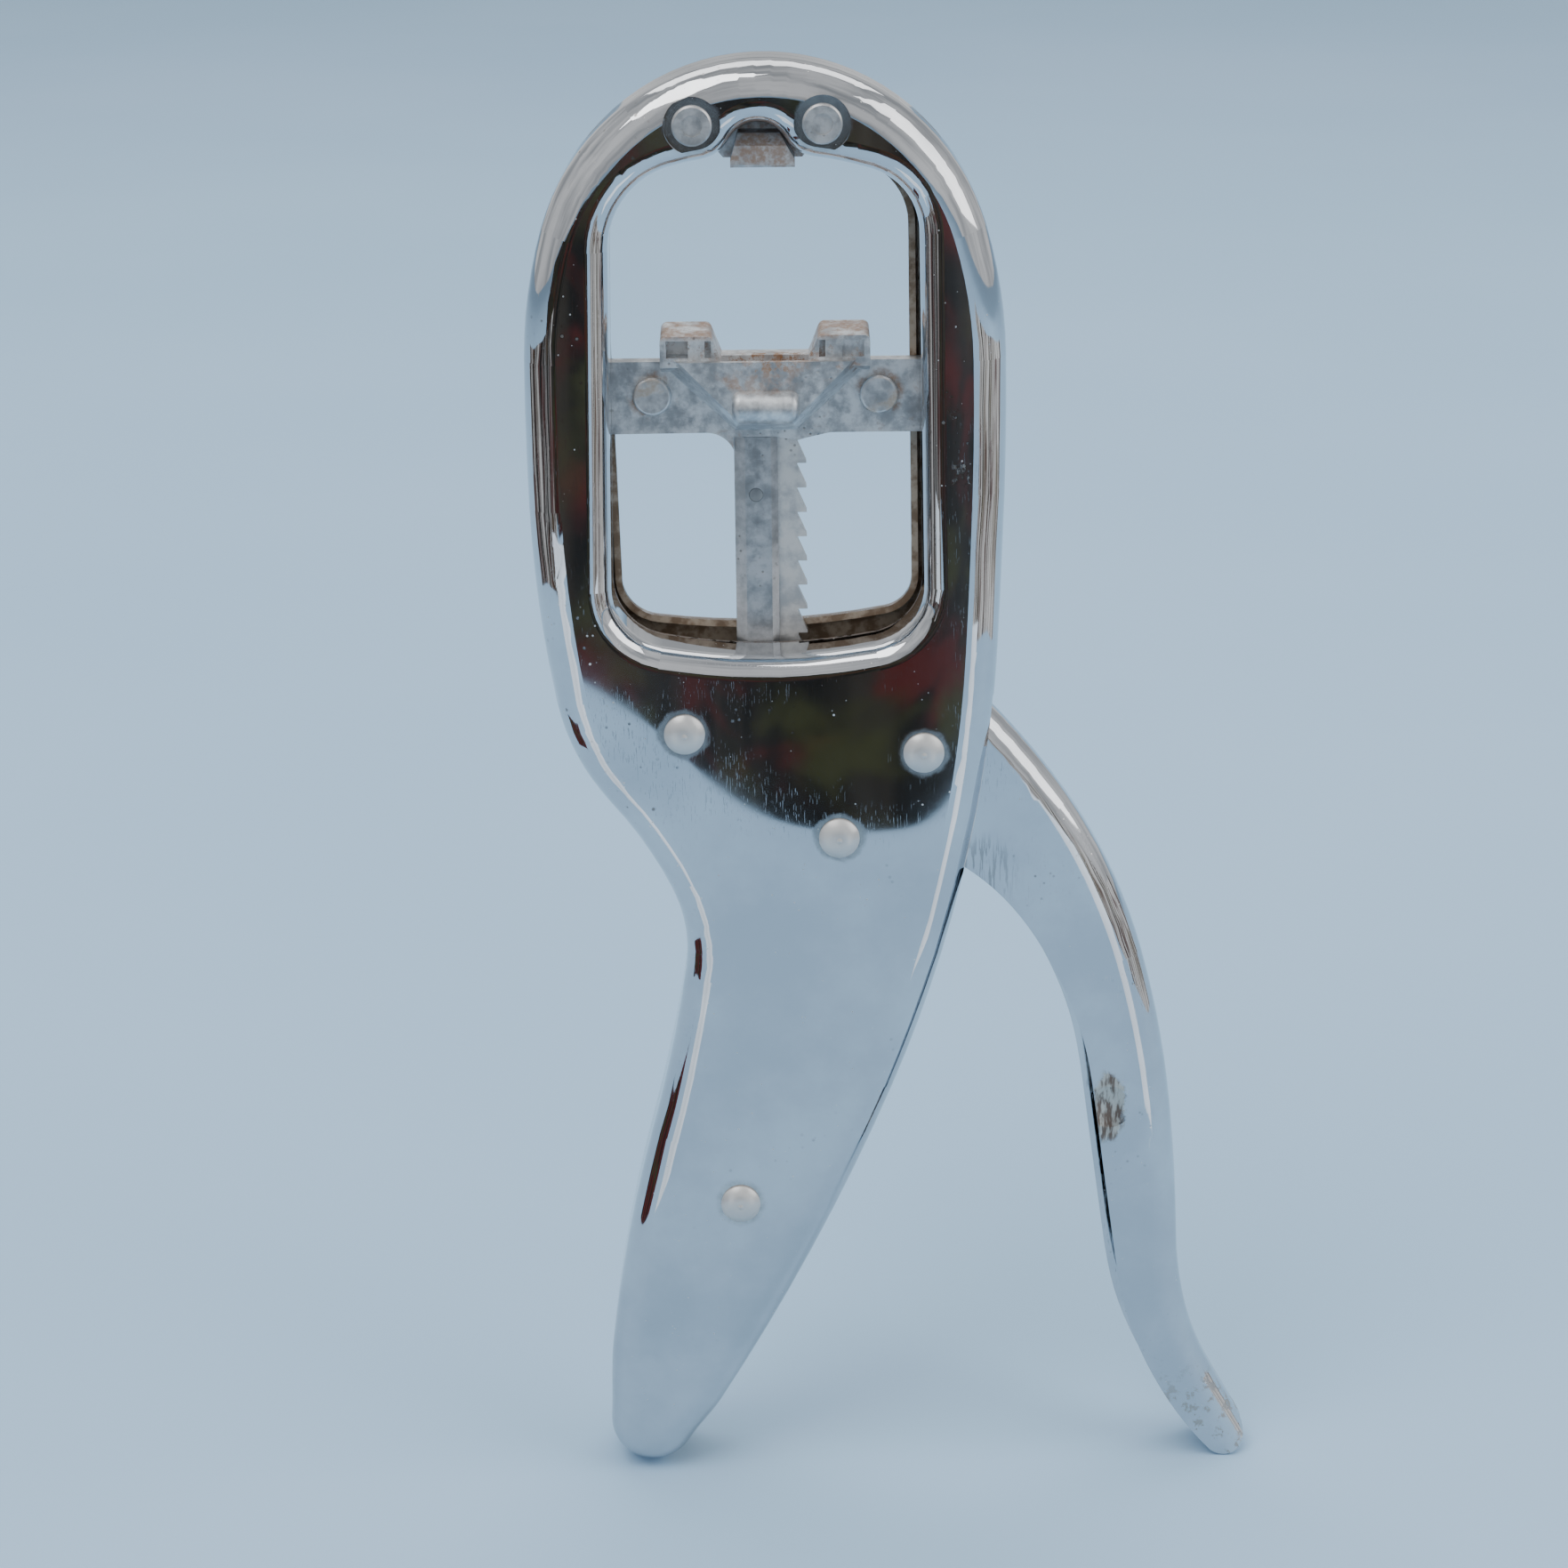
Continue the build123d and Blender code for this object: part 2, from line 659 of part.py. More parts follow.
with BuildPart() as back_plate:
    plate_half = 20.2
    plate_thickness = 1.2
    plate_height = 8.6
    plate_corner = 2.0
    with BuildSketch(Plane.XZ.offset(-slide_back - plate_thickness)):
        with Locations((0, (arm_bottom + arm_top) / 2)):
            RectangleRounded(2 * plate_half, plate_height, plate_corner)
        with Locations((-stud_x, stud_z), (stud_x, stud_z)):
            Circle(shank_radius + hole_play, mode=Mode.SUBTRACT)
    extrude(amount=plate_thickness)
back_plate.part.label = "back_plate"
export_step(back_plate.part, "parts/back_plate.step")

with BuildPart() as jaw_studs:
    stud_head = 2.85
    stud_height = 1.2
    stud_rounding = 0.45
    with BuildSketch(Plane.XZ.offset(-slide_front)):
        with Locations((-stud_x, stud_z), (stud_x, stud_z)):
            Circle(stud_head)
    extrude(amount=stud_height)
    fillet(jaw_studs.faces().sort_by(Axis.Y)[:2].edges(), stud_rounding)
    with BuildSketch(Plane.XZ.offset(-slide_back - plate_thickness)):
        with Locations((-stud_x, stud_z), (stud_x, stud_z)):
            Circle(shank_radius)
    extrude(amount=slide_back - slide_front + plate_thickness)
    with BuildSketch(Plane.XZ.offset(-slide_back - plate_thickness - tail_height)):
        with Locations((-stud_x, stud_z), (stud_x, stud_z)):
            Circle(tail_radius)
    extrude(amount=tail_height)
jaw_studs.part.label = "jaw_studs"
export_step(jaw_studs.part, "parts/jaw_studs.step")


# squeeze lever: a folded channel with a rounded back, open towards the handle
def lever_bar(sink):
    # over-long bar with the lever's rounded back, every face moved in by sink
    end_point = (78.4, -56)
    with BuildPart() as bar:
        with BuildSketch(Plane.XZ.offset(sink - lever_back)):
            with BuildLine():
                head_left = point_at(lever_centre, lever_head_radius, 160)
                head_right = point_at(lever_centre, lever_head_radius, 45.5)
                arc_chain(
                    [head_left, head_right, (45.3, 57), (57, 32.2), (62.2, 6), (63.9, -17),
                     (65.6, -29.5), (70, -41), (75.2, -50.3), end_point],
                    point_at((0, 0), 1, 70),
                )
                Polyline(end_point, (66, -61), (52, -30), (49, -15), (44, 18), (33, 37), (26, 44),
                         (16, 50), (7, 56), (5, 72), head_left)
            make_face()
            if sink:
                offset(amount=-sink)
        extrude(amount=lever_back - lever_front - 2 * sink)
        for side in (0, -1):
            rim = bar.faces().sort_by(Axis.Y)[side].edges().filter_by(GeomType.CIRCLE)
            fillet([edge for edge in rim if edge.radius > lever_edge_radius + sheet], lever_edge_radius - sink)
    return bar.part


def lever_flank(extra):
    # outline of one flange; extra moves its free edge towards the handle
    with BuildSketch() as flank:
        with BuildLine():
            tip_right = point_at(lever_tip_centre, lever_tip_radius, 28)
            tip_low = point_at(lever_tip_centre, lever_tip_radius, -55)
            tip_left = point_at(lever_tip_centre, lever_tip_radius, -140)
            ear_low = point_at(drive_pin_centre, ear_radius, -50)
            ear_side = point_at(drive_pin_centre, ear_radius, 230)
            ear_high = point_at(drive_pin_centre, ear_radius, 150)
            ThreePointArc(tip_right, tip_low, tip_left)
            Spline(tip_left, (65.2 - extra, -48.6), (60.6 - extra, -41.1), (56 - extra, -29.9),
                   (53.4 - extra, -16), (50.6 - extra, 4), (48 - extra, 18.5), (43.6 - extra, 29.6),
                   (37 - extra, 40.1), (29.3, 47.1))
            Line((29.3, 47.1), ear_low)
            ThreePointArc(ear_low, ear_side, ear_high)
            Polyline(ear_high, point_at(lever_centre, lever_head_radius + 0.5, 152), (10, 85),
                     (60, 85), (90, 40), (90, -40), tip_right)
        make_face()
    return flank.sketch


with BuildPart() as lever_flanks:
    fold = (lever_front + lever_back) / 2
    with BuildSketch(Plane.XZ.offset(-fold)):
        add(lever_flank(0))
    extrude(amount=lever_back - lever_front)
    with BuildSketch(Plane.XZ.offset(-lever_back - 1)):
        add(lever_flank(back_flange_extra))
    extrude(amount=lever_back + 1 - fold)

with BuildPart() as lever_hollow:
    add(lever_bar(sheet))
    with BuildSketch(Plane.XZ.offset(-lever_back)):
        with BuildLine():
            end_right = point_at(lever_tip_centre, lever_tip_radius - sheet, 28)
            end_low = point_at(lever_tip_centre, lever_tip_radius - sheet, -55)
            end_left = point_at(lever_tip_centre, lever_tip_radius - sheet, -140)
            ThreePointArc(end_right, end_low, end_left)
            Polyline(end_left, (60, -50), (50, -30), (40, 18), (30, 35), (5, 50), (5, 85), (60, 85),
                     (90, 40), (90, -40), end_right)
        make_face()
    extrude(amount=lever_back - lever_front, mode=Mode.INTERSECT)

with BuildPart() as lever:
    add(lever_bar(0))
    add(lever_flanks.part, mode=Mode.INTERSECT)
    add(lever_hollow.part, mode=Mode.SUBTRACT)
    with BuildSketch(Plane.XZ.offset(-lever_back)):
        with Locations(lever_centre):
            Circle(bush_radius + hole_play)
        with Locations(drive_pin_centre):
            Circle(pin_radius)
    extrude(amount=lever_back - lever_front, mode=Mode.SUBTRACT)
    # shallow dent in the front flange
    with Locations((dent_centre[0], lever_front + dent_depth - dent_radius, dent_centre[1])):
        Sphere(dent_radius, mode=Mode.SUBTRACT)
lever.part.label = "lever"
export_step(lever.part, "parts/lever.step")

with BuildPart() as drive_pawl_pin:
    with BuildSketch(Plane.XZ.offset(-lever_back)):
        with Locations(drive_pin_centre):
            Circle(pin_radius)
    extrude(amount=lever_back - lever_front)
    for head_back in (lever_front, lever_back + pin_head_height):
        with BuildSketch(Plane.XZ.offset(-head_back)):
            with Locations(drive_pin_centre):
                Circle(pin_head_radius)
        extrude(amount=pin_head_height)
drive_pawl_pin.part.label = "drive_pawl_pin"
export_step(drive_pawl_pin.part, "parts/drive_pawl_pin.step")

with BuildPart() as drive_pawl_spacer:
    sleeve_radius = 1.7
    sleeve_front = lever_front + sheet + 0.1
    sleeve_back = pawl_front - 0.1
    with BuildSketch(Plane.XZ.offset(-sleeve_back)):
        with Locations(drive_pin_centre):
            Circle(sleeve_radius)
            Circle(pin_radius + hole_play, mode=Mode.SUBTRACT)
    extrude(amount=sleeve_back - sleeve_front)
drive_pawl_spacer.part.label = "drive_pawl_spacer"
export_step(drive_pawl_spacer.part, "parts/drive_pawl_spacer.step")


def pawl_outline(centre, boss, nose, turn):
    # arm from a round boss to a four-cornered nose; nose is given about the pivot, as the pawl
    # sits in the teeth, from its upper inner corner round to its lower inner corner
    corners = []
    for across, up in nose:
        reach = math.hypot(across, up)
        angle = math.degrees(math.atan2(up, across)) % 360 - turn
        corners.append((reach, angle))
    top_reach, top_angle = corners[0]
    low_reach, low_angle = corners[-1]
    top_touch = top_angle - math.degrees(math.acos(boss / top_reach))
    low_touch = low_angle + math.degrees(math.acos(boss / low_reach))
    outline = [point_at(centre, reach, angle) for reach, angle in corners]
    Polyline(point_at(centre, boss, top_touch), *outline, point_at(centre, boss, low_touch))
    far_side = (top_touch + low_touch) / 2 + 180
    ThreePointArc(
        point_at(centre, boss, low_touch), point_at(centre, boss, far_side), point_at(centre, boss, top_touch),
    )


drive_nose = [(-5.55, 4.31), (-8.0, 4.31), (-7.95, 3.86), (-6.55, 1.56)]
drive_turn = 1.7
holding_nose = [(-3.5, 1.35), (-4.852, 0.682), (-4.55, 0.12), (-3.3, -1.1)]
holding_turn = 25.0

with BuildPart() as drive_pawl:
    with BuildSketch(Plane.XZ.offset(-pawl_back)):
        with BuildLine():
            pawl_outline(drive_pin_centre, drive_boss_radius, drive_nose, drive_turn)
        make_face()
        with Locations(drive_pin_centre):
            Circle(pin_radius + hole_play, mode=Mode.SUBTRACT)
    extrude(amount=pawl_back - pawl_front)
drive_pawl.part.label = "drive_pawl"
export_step(drive_pawl.part, "parts/drive_pawl.step")

with BuildPart() as holding_pawl:
    with BuildSketch(Plane.XZ.offset(-pawl_back)):
        with BuildLine():
            pawl_outline(holding_centre, holding_boss_radius, holding_nose, holding_turn)
        make_face()
        with Locations(holding_centre):
            Circle(holding_bore_radius, mode=Mode.SUBTRACT)
    extrude(amount=pawl_back - pawl_front)
holding_pawl.part.label = "holding_pawl"
export_step(holding_pawl.part, "parts/holding_pawl.step")


def coil_section(coil_radius, wire, front, turns):
    # half section of a close-wound coil, in (radius, y)
    step = coil_step * wire
    with BuildSketch() as section:
        for turn in range(turns):
            with Locations((coil_radius, front + wire + turn * step)):
                Circle(wire)
        with Locations((coil_radius, front + wire + (turns - 1) * step / 2)):
            Rectangle(wire, (turns - 1) * step)
    return section.sketch


def straight_wire(start, end, wire):
    # round wire between two points, in (x, y, z)
    way = Vector(*end) - Vector(*start)
    return Plane(origin=start, z_dir=way) * Cylinder(
        wire, way.length, align=(Align.CENTER, Align.CENTER, Align.MIN), mode=Mode.PRIVATE
    )


def touch_point(centre, coil_radius, end, side):
    # where a straight leg to end leaves the coil; side is 1 or -1
    across = end[0] - centre[0]
    up = end[1] - centre[1]
    turn = math.degrees(math.acos(coil_radius / math.hypot(across, up)))
    return point_at(centre, coil_radius, math.degrees(math.atan2(up, across)) + side * turn)


with BuildPart() as drive_pawl_spring:
    drive_coil_radius = 2.35
    coil_front = -3.3
    hook = point_at(drive_pin_centre, 5.162, 128.2)
    tail = (25.6, 51.6)
    with BuildSketch(Plane(origin=(drive_pin_centre[0], 0, drive_pin_centre[1]), z_dir=(0, 0, 1))):
        add(coil_section(drive_coil_radius, pawl_wire, coil_front, drive_turns))
    revolve(axis=Axis((drive_pin_centre[0], 0, drive_pin_centre[1]), (0, 1, 0)))
    leg_y = coil_front + pawl_wire + (drive_turns - 1) * coil_step * pawl_wire
    root = touch_point(drive_pin_centre, drive_coil_radius, hook, -1)
    add(straight_wire((root[0], leg_y, root[1]), (hook[0], leg_y, hook[1]), pawl_wire))
    add(straight_wire((hook[0], leg_y - pawl_wire, hook[1]), (hook[0], pawl_back, hook[1]), pawl_wire))
    tail_y = coil_front + pawl_wire
    root = touch_point(drive_pin_centre, drive_coil_radius, tail, 1)
    add(straight_wire((root[0], tail_y, root[1]), (tail[0], tail_y, tail[1]), pawl_wire))
drive_pawl_spring.part.label = "drive_pawl_spring"
export_step(drive_pawl_spring.part, "parts/drive_pawl_spring.step")

with BuildPart() as holding_pawl_spring:
    holding_coil_radius = 3.55
    coil_front = -2.0
    hook = point_at(holding_centre, 3.55, 121)
    tail = (14.0, 44.5)
    with BuildSketch(Plane(origin=(holding_centre[0], 0, holding_centre[1]), z_dir=(0, 0, 1))):
        add(coil_section(holding_coil_radius, pawl_wire, coil_front, holding_turns))
    revolve(axis=Axis((holding_centre[0], 0, holding_centre[1]), (0, 1, 0)))
    hook_y = coil_front + pawl_wire + (holding_turns - 1) * coil_step * pawl_wire
    add(straight_wire((hook[0], hook_y, hook[1]), (hook[0], pawl_back, hook[1]), pawl_wire))
    tail_y = coil_front + pawl_wire
    root = touch_point(holding_centre, holding_coil_radius, tail, 1)
    add(straight_wire((root[0], tail_y, root[1]), (tail[0], tail_y, tail[1]), pawl_wire))
holding_pawl_spring.part.label = "holding_pawl_spring"
export_step(holding_pawl_spring.part, "parts/holding_pawl_spring.step")

with BuildPart() as lever_spring:
    lever_coil_radius = 3.8
    coil_front = -3.3
    anchor_leg = (7.4, 68.6)
    lever_leg = (43.3, 55.4)
    with BuildSketch(Plane(origin=(pivot_x, 0, pivot_z), z_dir=(0, 0, 1))):
        add(coil_section(lever_coil_radius, lever_wire, coil_front, lever_turns))
    revolve(axis=Axis((pivot_x, 0, pivot_z), (0, 1, 0)))
    leg_y = coil_front + lever_wire
    root = touch_point(lever_centre, lever_coil_radius, anchor_leg, 1)
    add(straight_wire((root[0], leg_y, root[1]), (anchor_leg[0], leg_y, anchor_leg[1]), lever_wire))
    leg_y = coil_front + lever_wire + (lever_turns - 1) * coil_step * lever_wire
    root = touch_point(lever_centre, lever_coil_radius, lever_leg, -1)
    add(straight_wire((root[0], leg_y, root[1]), (lever_leg[0], leg_y, lever_leg[1]), lever_wire))
lever_spring.part.label = "lever_spring"
export_step(lever_spring.part, "parts/lever_spring.step")
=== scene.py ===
import math
import bpy
from mathutils import Matrix, Vector


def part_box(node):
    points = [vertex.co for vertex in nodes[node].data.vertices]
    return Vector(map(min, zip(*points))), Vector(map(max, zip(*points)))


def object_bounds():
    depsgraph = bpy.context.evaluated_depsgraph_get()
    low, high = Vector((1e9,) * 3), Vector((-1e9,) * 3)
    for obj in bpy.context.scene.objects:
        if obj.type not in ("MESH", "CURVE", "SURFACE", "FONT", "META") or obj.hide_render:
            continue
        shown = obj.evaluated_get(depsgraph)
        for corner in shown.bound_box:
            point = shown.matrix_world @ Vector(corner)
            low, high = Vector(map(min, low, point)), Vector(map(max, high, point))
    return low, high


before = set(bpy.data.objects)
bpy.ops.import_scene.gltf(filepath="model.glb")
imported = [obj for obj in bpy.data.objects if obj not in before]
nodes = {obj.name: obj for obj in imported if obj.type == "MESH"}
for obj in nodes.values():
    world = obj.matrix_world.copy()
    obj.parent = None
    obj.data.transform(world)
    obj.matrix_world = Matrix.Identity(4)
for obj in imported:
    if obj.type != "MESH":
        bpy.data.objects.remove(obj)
cad_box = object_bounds()
scene = bpy.context.scene
MM = 0.001
# depth (Y) of the lever's front flange and of the right rail's worn spots
LEVER_FACE = -4.6 * MM
RAIL_FACE = -6.0 * MM


# ---------------------------------------------------------------- node helpers
class Tree:
    """A material's node tree with short calls for the nodes used here."""

    def __init__(self, name):
        self.material = bpy.data.materials.new(name)
        self.material.use_nodes = True
        self.tree = self.material.node_tree
        self.tree.nodes.clear()
        self.output = self.tree.nodes.new("ShaderNodeOutputMaterial")
        self.shader = self.tree.nodes.new("ShaderNodeBsdfPrincipled")
        self.tree.links.new(self.shader.outputs[0], self.output.inputs[0])
        coords = self.tree.nodes.new("ShaderNodeTexCoord")
        self.place = coords.outputs["Object"]

    def link(self, value, socket):
        if isinstance(value, bpy.types.NodeSocket):
            self.tree.links.new(value, socket)
        elif value is not None:
            socket.default_value = value

    def math(self, operation, a, b=None, c=None, clamp=False):
        node = self.tree.nodes.new("ShaderNodeMath")
        node.operation = operation
        node.use_clamp = clamp
        for number, value in enumerate((a, b, c)):
            self.link(value, node.inputs[number])
        return node.outputs[0]

    def stretched(self, scale, turn=(0, 0, 0)):
        node = self.tree.nodes.new("ShaderNodeMapping")
        node.inputs["Scale"].default_value = scale
        node.inputs["Rotation"].default_value = turn
        self.tree.links.new(self.place, node.inputs["Vector"])
        return node.outputs[0]

    def noise(self, scale, detail=4.0, rough=0.55, vector=None, distortion=0.0):
        node = self.tree.nodes.new("ShaderNodeTexNoise")
        node.inputs["Scale"].default_value = scale
        node.inputs["Detail"].default_value = detail
        node.inputs["Roughness"].default_value = rough
        node.inputs["Distortion"].default_value = distortion
        self.tree.links.new(vector or self.place, node.inputs["Vector"])
        return node.outputs["Fac"]

    def cells(self, scale):
        node = self.tree.nodes.new("ShaderNodeTexVoronoi")
        node.inputs["Scale"].default_value = scale
        self.tree.links.new(self.place, node.inputs["Vector"])
        return node.outputs["Distance"]

    def band(self, value, low, high, out_low=0.0, out_high=1.0):
        node = self.tree.nodes.new("ShaderNodeMapRange")
        node.interpolation_type = "SMOOTHSTEP"
        node.inputs["From Min"].default_value = low
        node.inputs["From Max"].default_value = high
        node.inputs["To Min"].default_value = out_low
        node.inputs["To Max"].default_value = out_high
        self.tree.links.new(value, node.inputs["Value"])
        return node.outputs[0]

    def mix(self, factor, a, b):
        node = self.tree.nodes.new("ShaderNodeMix")
        node.data_type = "RGBA"
        self.link(factor, node.inputs[0])
        for value, socket in ((a, node.inputs[6]), (b, node.inputs[7])):
            if isinstance(value, tuple):
                value = (*value, 1.0)
            self.link(value, socket)
        return node.outputs[2]

    def axis(self, name):
        node = self.tree.nodes.new("ShaderNodeSeparateXYZ")
        self.tree.links.new(self.place, node.inputs[0])
        return node.outputs[name]

    def normal_axis(self, name):
        geometry = self.tree.nodes.new("ShaderNodeNewGeometry")
        node = self.tree.nodes.new("ShaderNodeSeparateXYZ")
        self.tree.links.new(geometry.outputs["Normal"], node.inputs[0])
        return node.outputs[name]

    def distance(self, point, flat=(1, 1, 1)):
        """Distance in metres from a point; flat drops or stretches axes."""
        shift = self.tree.nodes.new("ShaderNodeVectorMath")
        shift.operation = "SUBTRACT"
        self.tree.links.new(self.place, shift.inputs[0])
        shift.inputs[1].default_value = point
        scaled = self.tree.nodes.new("ShaderNodeVectorMath")
        scaled.operation = "MULTIPLY"
        self.tree.links.new(shift.outputs[0], scaled.inputs[0])
        scaled.inputs[1].default_value = flat
        length = self.tree.nodes.new("ShaderNodeVectorMath")
        length.operation = "LENGTH"
        self.tree.links.new(scaled.outputs[0], length.inputs[0])
        return length.outputs["Value"]

    def bump(self, height, strength, distance, under=None):
        node = self.tree.nodes.new("ShaderNodeBump")
        node.inputs["Strength"].default_value = strength
        node.inputs["Distance"].default_value = distance
        self.tree.links.new(height, node.inputs["Height"])
        if under is not None:
            self.tree.links.new(under, node.inputs["Normal"])
        return node.outputs[0]

    def finish(self, color, rough, normal=None, metallic=1.0):
        self.link(color, self.shader.inputs["Base Color"])
        self.link(rough, self.shader.inputs["Roughness"])
        self.link(metallic, self.shader.inputs["Metallic"])
        if normal is not None:
            self.tree.links.new(normal, self.shader.inputs["Normal"])
        return self.material


def lighter(t, values):
    """Largest of several masks."""
    result = values[0]
    for value in values[1:]:
        result = t.math("MAXIMUM", result, value)
    return result


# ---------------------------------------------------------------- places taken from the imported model
def centre_of(node):
    low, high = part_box(node)
    return (low + high) / 2


def islands(node):
    """Centres of the separate solids of a node, from its mesh."""
    mesh = nodes[node].data
    parent = list(range(len(mesh.vertices)))

    def root(item):
        while parent[item] != item:
            parent[item] = parent[parent[item]]
            item = parent[item]
        return item

    keys = {}
    for vertex in mesh.vertices:
        key = tuple(round(value, 6) for value in vertex.co)
        first = keys.setdefault(key, vertex.index)
        parent[root(vertex.index)] = root(first)
    for edge in mesh.edges:
        parent[root(edge.vertices[0])] = root(edge.vertices[1])
    groups = {}
    for vertex in mesh.vertices:
        groups.setdefault(root(vertex.index), []).append(vertex.co)
    centres = []
    for points in groups.values():
        low = Vector([min(point[i] for point in points) for i in range(3)])
        high = Vector([max(point[i] for point in points) for i in range(3)])
        centres.append((low + high) / 2)
    return sorted(centres, key=lambda point: (point.z, point.x))


shell_rivet_places = islands("shell_rivets")
pivot_place = centre_of("pivot_rivet")
jaw_rivet_places = islands("jaw_rivets")
stud_places = islands("jaw_studs")
domed_places = shell_rivet_places + [pivot_place]
# the free edges of the two window lips, as bands in Y: the front lip's end and the rear lip's end
front_lip_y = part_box("front_shell")[1].y
rear_lip_y = front_lip_y + 3.0 * MM
lip_bands = [(front_lip_y - 0.9 * MM, front_lip_y + 0.5 * MM), (rear_lip_y - 0.5 * MM, rear_lip_y + 1.1 * MM)]
# the window's zone on the body: its lowest and highest point and its half width, where it fades out
zone_low, zone_high, zone_side = 78 * MM, 161 * MM, 26 * MM
# worn spots on the right rail of the head, as (x, z, reach) in millimetres
flake_places = ((27.6, 118.2, 1.5), (28.2, 109.3, 1.9), (29.6, 107.6, 1.0), (28.9, 120.1, 0.7))
# marks on the lever's front flange and stains on the jaw
scuff_place = (32.5 * MM, LEVER_FACE, 46.0 * MM)
dent_place = (52.3 * MM, LEVER_FACE, 6.7 * MM)
tray_place = (1.2 * MM, -1.2 * MM, 125.0 * MM)
pad_place = (0.5 * MM, -4.5 * MM, 122.2 * MM)


# ---------------------------------------------------------------- materials
def scratches(t, seed):
    """Short fine hairlines in three directions, denser in some patches than in others."""
    lines = []
    directions = ((0.25, 0.66, 0.72), (-0.55, 0.67, 0.73), (1.05, 0.68, 0.74))
    for number, (lean, low, high) in enumerate(directions):
        along = t.stretched((6200, 6200, 420), (seed + number, lean, 0.0))
        lines.append(t.band(t.noise(1.0, 2, 0.5, along), low, high))
    patch = t.band(t.noise(60, 3, 0.6), 0.4, 0.66)
    return t.math("MULTIPLY", lighter(t, lines), patch)


def dust(t, scale, amount):
    """Sparse small specks of uneven size."""
    size = t.band(t.noise(scale * 0.45, 2, 0.5), 0.45, 0.8, 0.0, amount)
    return t.band(t.math("SUBTRACT", t.cells(scale), size), 0.02, -0.04)


